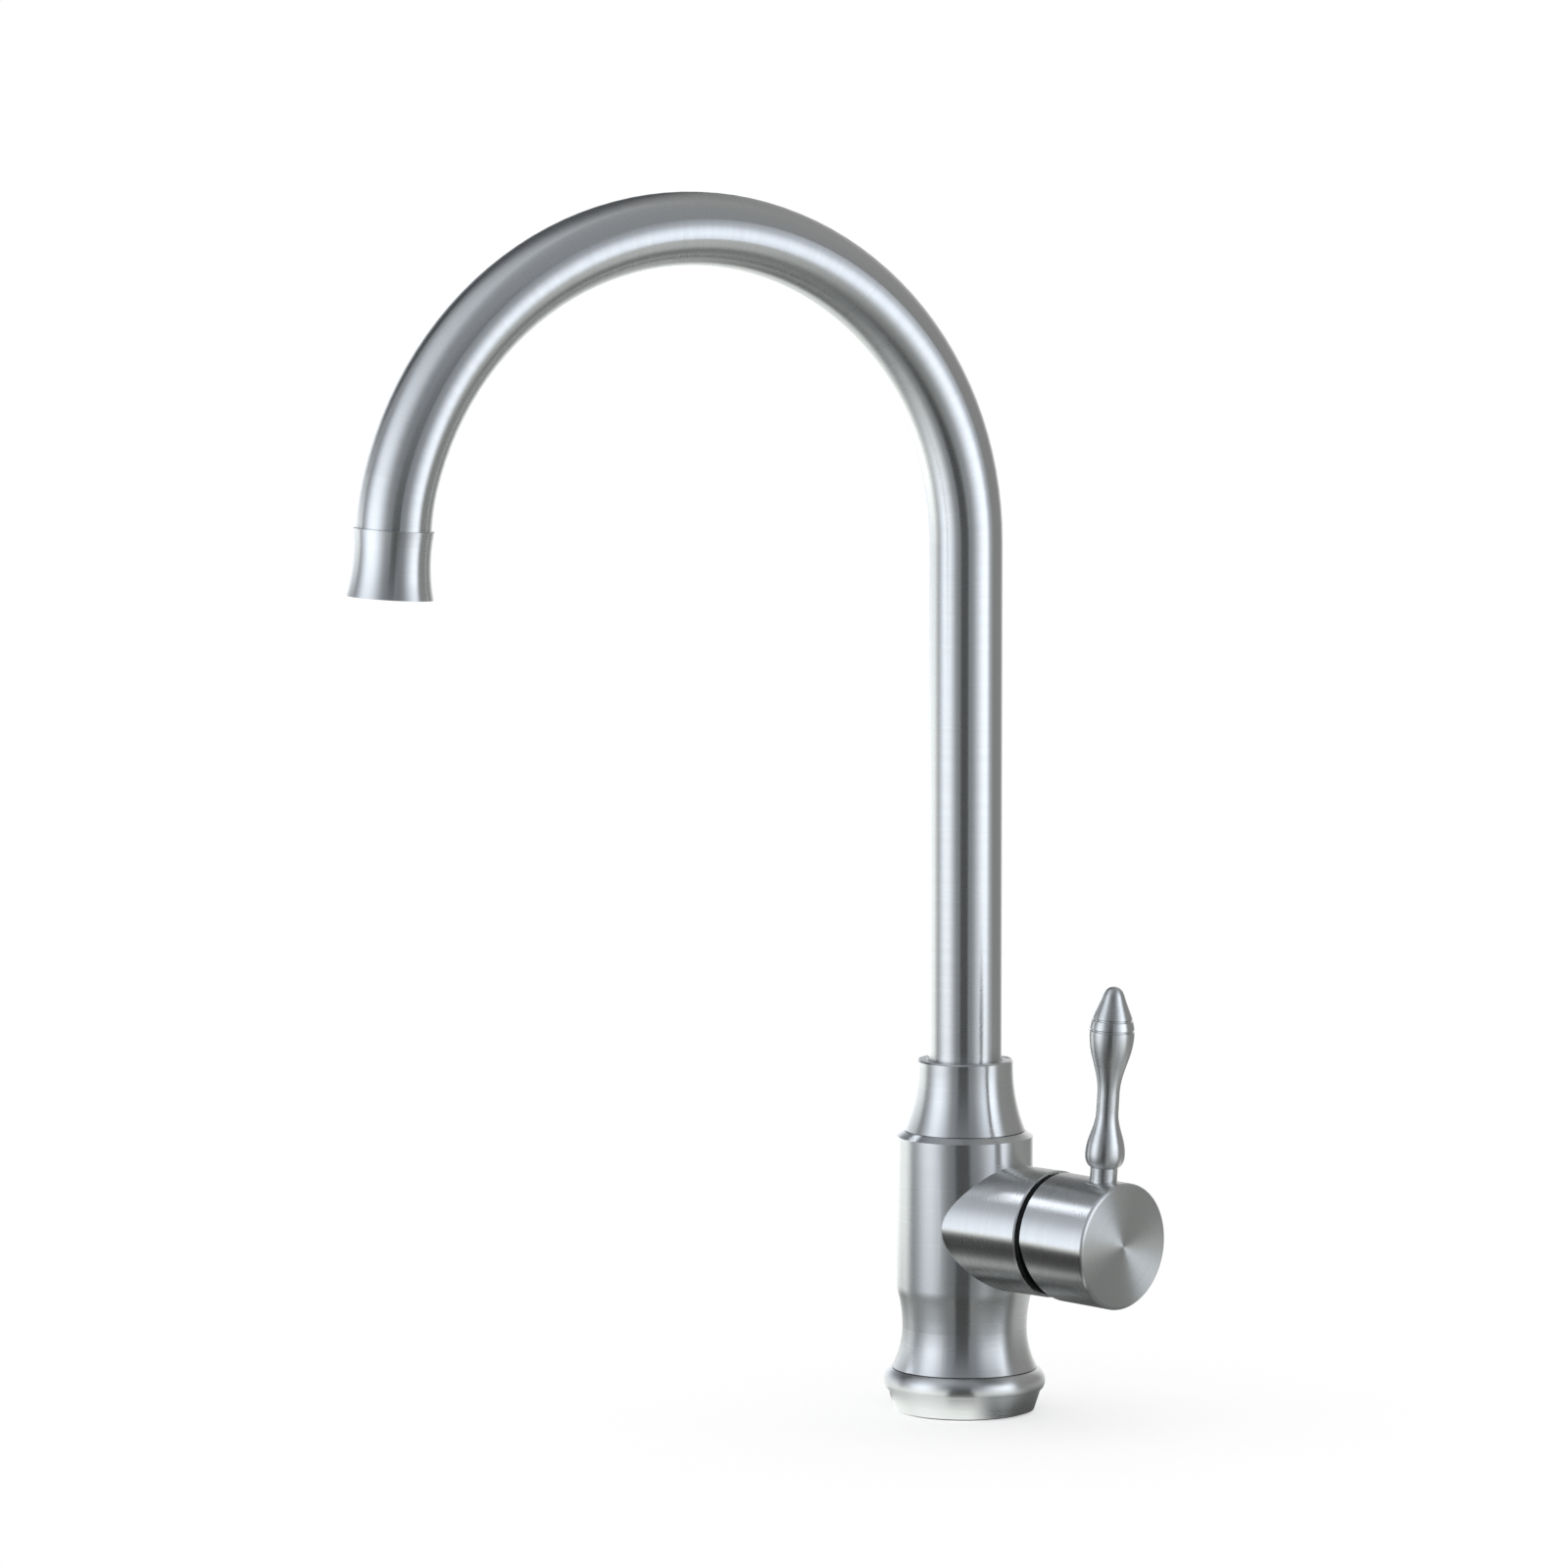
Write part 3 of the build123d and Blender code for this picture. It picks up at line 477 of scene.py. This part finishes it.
# Studio cards and room, seen only by reflections, with ramps over degrees and metres
def angle_from_camera(graph, vector):
    """Turn about the vertical from the camera's side, in degrees, positive to its right."""
    sideways = graph.vector("DOT_PRODUCT", vector, tuple(camera_right))
    towards = graph.vector("DOT_PRODUCT", vector, tuple(camera_side))
    return graph.times(graph.math("ARCTAN2", sideways, towards), in_degrees)


def light_only(made, pieces):
    """Let a card light these pieces alone."""
    lit = bpy.data.collections.new(made.name + "_lit")
    for piece in pieces:
        lit.objects.link(piece)
    made.light_linking.receiver_collection = lit


def card(name, shape, tint, level, clear=False, sampled=False):
    """Glowing stage sheet, its strength a function of its place; a clear one hides nothing."""
    mesh = bpy.data.meshes.new(name)
    shape.to_mesh(mesh)
    shape.free()
    material, graph = new_material(name)
    lamp = graph.node("Emission")
    graph.feed(lamp.inputs["Color"], tint(graph) if callable(tint) else (*tint, 1.0))
    graph.feed(lamp.inputs["Strength"], level(graph))
    surface = lamp.outputs[0]
    if clear:
        surface = graph.both(surface, graph.node("BsdfTransparent").outputs[0])
    graph.show(surface)
    mesh.materials.append(material)
    material.cycles.emission_sampling = "AUTO" if sampled else "NONE"
    made = new_object(name, mesh)
    made.visible_camera = False
    made.visible_diffuse = False
    made.visible_transmission = False
    made.visible_shadow = False
    return made


panel_distance = 0.85
panel_tint = (0.90, 0.963, 1.06)
panel_columns = 32


def panel(name, angles, heights, strength, level, sampled=False):
    """Upright curved card round the faucet, brightness by angle and height."""
    shape = bmesh.new()
    rims = []
    for height in heights:
        rim = []
        for column in range(panel_columns + 1):
            turn = radians(angles[0] + (angles[1] - angles[0]) * column / panel_columns)
            way = camera_side * cos(turn) + camera_right * sin(turn)
            rim.append(shape.verts.new(way * panel_distance + up * height))
        rims.append(rim)
    low, high = rims
    for column in range(panel_columns):
        shape.faces.new((low[column], low[column + 1], high[column + 1], high[column]))

    def glow(graph):
        place = graph.position()
        angle = angle_from_camera(graph, place)
        return graph.times(level(graph, angle, graph.split(place)[2]), strength)

    return card(name, shape, panel_tint, glow, sampled=sampled)


panel_heights = (0, 0.85)
right_end = 84
left_end = -100
gap_left = -17
gap_right = 7
gap_level = 0.08
strip_angles = (-134, -113)
strip_heights = (0.46, 0.92)


def right_level(graph, angle, height):
    inner = graph.ramp(angle, 14, 60, 0.18, 1.0)
    outer = graph.ramp(angle, 66, right_end, 1.0, 0.2)
    high = graph.ramp(height, 0.28, 0.85, 1.0, 0.22)
    low = graph.ramp(height, -0.1, 0.28, 0.75, 1.0)
    return graph.times(inner, outer, low, high)


def left_level(graph, angle, height):
    inner = graph.ramp(angle, -62, -26, 1.0, 0.2)
    edge = graph.ramp(angle, -28, -14, 1.0, 0.7)
    outer = graph.ramp(angle, left_end, -68, 0.25, 1.0)
    high = graph.ramp(height, 0.05, 0.7, 1.0, 0.5)
    return graph.times(inner, edge, outer, high)


def strip_level(graph, angle, height):
    across = graph.window(angle, strip_angles[0], -124, -121, strip_angles[1])
    return graph.times(across, graph.window(height, strip_heights[0], 0.62, 0.76, strip_heights[1]))


panel("panel_right", (gap_right, right_end), panel_heights, 2.5, right_level)
panel("panel_left", (left_end, gap_left), panel_heights, 2.3, left_level)
strip = panel("strip_lamp", strip_angles, strip_heights, 11.5, strip_level, sampled=True)
light_only(strip, (nodes["faucet_body"], cut_drum))


def in_gap(graph, turn):
    """One in the dark gap between the two panels."""
    return graph.times(graph.above(turn, gap_left), graph.below(turn, gap_right))


room_radius = 2.0
room_height = 0.25
room_cool = (0.93, 0.98, 1.05)
room_neutral = (0.99, 1.0, 0.99)


def room_glow(graph):
    """Dim room: white wall behind on the left, grey behind on the right, dark gap in front."""
    away = graph.vector("SUBTRACT", graph.position(), (0.0, 0.0, room_height))
    way = graph.vector("NORMALIZE", away)
    turn = angle_from_camera(graph, way)
    rise = graph.times(graph.math("ARCSINE", graph.split(way)[2]), in_degrees)
    on_right = graph.above(turn, 0.0)
    left_back = graph.ramp(turn, -116, -98, 1.15, 0.35)
    left_back = graph.times(left_back, graph.ramp(rise, 0, 18, 1.0, 0.3))
    right_back = graph.ramp(turn, 135, 170, 0.33, 1.0)
    ring = graph.mix(on_right, left_back, right_back)
    ring = graph.mix(in_gap(graph, turn), ring, gap_level)
    rear = graph.mix(on_right, 0.12, 0.4)
    in_front = graph.mix(graph.ramp(graph.math("ABSOLUTE", turn), 80, 120), 0.38, rear)
    ceiling = graph.mix(graph.window(turn, -128, -104, -50, -10), in_front, 0.72)
    return graph.mix(graph.ramp(rise, 10, 34), ring, ceiling)


def room_tint(graph):
    """Cool light, neutral behind on the right."""
    turn = angle_from_camera(graph, graph.position())
    return graph.mix_vector(graph.ramp(turn, 60, 95), room_cool, room_neutral)


room = bmesh.new()
bmesh.ops.create_uvsphere(room, u_segments=48, v_segments=24, radius=room_radius)
bmesh.ops.translate(room, verts=room.verts, vec=(0, 0, room_height))
card("room", room, room_tint, room_glow)

bench_tint = (0.97, 1.0, 0.98)
bench_dark = 0.06
foot_radius = 0.2
foot_height = 0.0001
foot_fade = 6
disc_segments = 64


def on_bench(graph):
    """Place on the bench, its angle from the camera's side and its distance from the column."""
    place = graph.position()
    return place, angle_from_camera(graph, place), graph.vector("LENGTH", place)


def bench_glow(graph):
    """Dark bench top round the foot, paler outwards and behind on the left."""
    place, turn, reach = on_bench(graph)
    on_right = graph.above(turn, 0.0)
    left_back = graph.ramp(turn, -117, -99, 1.0, 0.0)
    left_back = graph.times(left_back, graph.ramp(reach, 0.12, 0.25))
    sheet = graph.window(reach, 0.07, 0.12, 0.2, 0.3)
    sheet = graph.times(sheet, graph.ramp(turn, 80, 100, 0.0, 0.65))
    right_side = graph.ramp(turn, 5, 40, 0.0, 0.17)
    right_side = graph.times(right_side, graph.ramp(reach, 0.04, 0.08, 0.3, 1.0))
    near = graph.mix(on_right, left_back, graph.add(right_side, sheet))
    beside = graph.vector("DOT_PRODUCT", place, tuple(valve_axis.cross(up)))
    stripe = graph.times(graph.window(beside, 0.03, 0.05, 0.05, 0.08), 0.6)
    near = graph.add(near, stripe, bench_dark)
    far_left = graph.ramp(turn, -62, -22, 1.3, 0.4)
    far_left = graph.add(far_left, graph.ramp(turn, -122, -106, 0.65, 0.0))
    far_right = graph.ramp(turn, 26, 60, 0.4, 1.0)
    far_right = graph.mix(graph.window(turn, 70, 90, 140, 170), far_right, 0.33)
    far = graph.mix(on_right, far_left, far_right)
    edge = graph.ramp(turn, -95, -55, 0.2, 0.0)
    level = graph.mix(graph.ramp(graph.math("SUBTRACT", reach, edge), 0.22, 0.42), near, far)
    return graph.mix(in_gap(graph, turn), level, gap_level)


def foot_glow(graph):
    """Pale sheet round the foot: its inner part lights the taper, its outer part the bead."""
    turn, reach = on_bench(graph)[1:]
    taper = graph.times(graph.ramp(turn, -128, -108), graph.ramp(turn, 0, 30, 1.4, 0.0))
    taper = graph.times(taper, graph.ramp(reach, 0.032, 0.034, 1.0, 0.0))
    left = graph.ramp(turn, gap_left - foot_fade, gap_left, 1.1, 0.0)
    right = graph.ramp(turn, gap_right, gap_right + foot_fade)
    right = graph.times(right, graph.ramp(turn, 50, 85, 0.95, 0.15))
    bead = graph.window(reach, 0.035, 0.042, 0.12, 0.2)
    return graph.add(taper, graph.times(bead, graph.add(left, right)))


def disc(name, radius, height, level, clear=False):
    """Flat round card lying under the faucet."""
    shape = bmesh.new()
    bmesh.ops.create_circle(shape, cap_ends=True, segments=disc_segments, radius=radius)
    bmesh.ops.translate(shape, verts=shape.verts, vec=(0, 0, height))
    return card(name, shape, bench_tint, level, clear)


disc("bench", room_radius, 0, bench_glow)
foot = disc("foot_sheet", foot_radius, foot_height, foot_glow, clear=True)
light_only(foot, (nodes["base_ring"],))


def shown(graph):
    """One for the rays that see the background itself."""
    rays = graph.node("LightPath").outputs
    direct = graph.math("MAXIMUM", rays["Is Camera Ray"], rays["Is Transmission Ray"])
    return graph.math("MAXIMUM", direct, rays["Is Glossy Ray"])


# White surround that lights evenly
surround_light = 0.8
world = bpy.data.worlds.new("surround")
bpy.context.scene.world = world
world.use_nodes = True
graph = Graph(world.node_tree)
background = graph.node("Background")
graph.feed(background.inputs["Strength"], graph.mix(shown(graph), surround_light, 1.0))
graph.show(background.outputs[0], "OutputWorld")

# Pale floor: white to the camera apart from the shadow on it
floor_size = 30.0
floor_height = -0.0002
floor_colour = (0.8, 0.8, 0.8)
floor_glow = 0.5
corners = ((-1, -1), (1, -1), (1, 1), (-1, 1))
floor_mesh = bpy.data.meshes.new("floor")
floor_mesh.from_pydata(
    [(x * floor_size, y * floor_size, floor_height) for x, y in corners], [], [(0, 1, 2, 3)]
)
floor = new_object("floor", floor_mesh)
floor_material, graph = new_material("floor_pale")
paint = graph.node("BsdfDiffuse")
paint.inputs["Color"].default_value = (*floor_colour, 1.0)
glow = graph.node("Emission")
graph.feed(glow.inputs["Strength"], graph.times(shown(graph), floor_glow))
graph.show(graph.both(paint.outputs[0], glow.outputs[0]))
floor_mesh.materials.append(floor_material)

camera_data = bpy.data.cameras.new("camera")
camera_data.lens = camera_lens
camera_data.sensor_width = sensor_width
camera_data.clip_end = clip_end
camera = new_object("camera", camera_data)
back = camera_side * cos(camera_elevation) + up * sin(camera_elevation)
camera.location = camera_target + back * camera_distance
camera.rotation_euler = (-back).to_track_quat("-Z", "Y").to_euler()
bpy.context.scene.camera = camera
bpy.context.scene.view_settings.view_transform = "Standard"
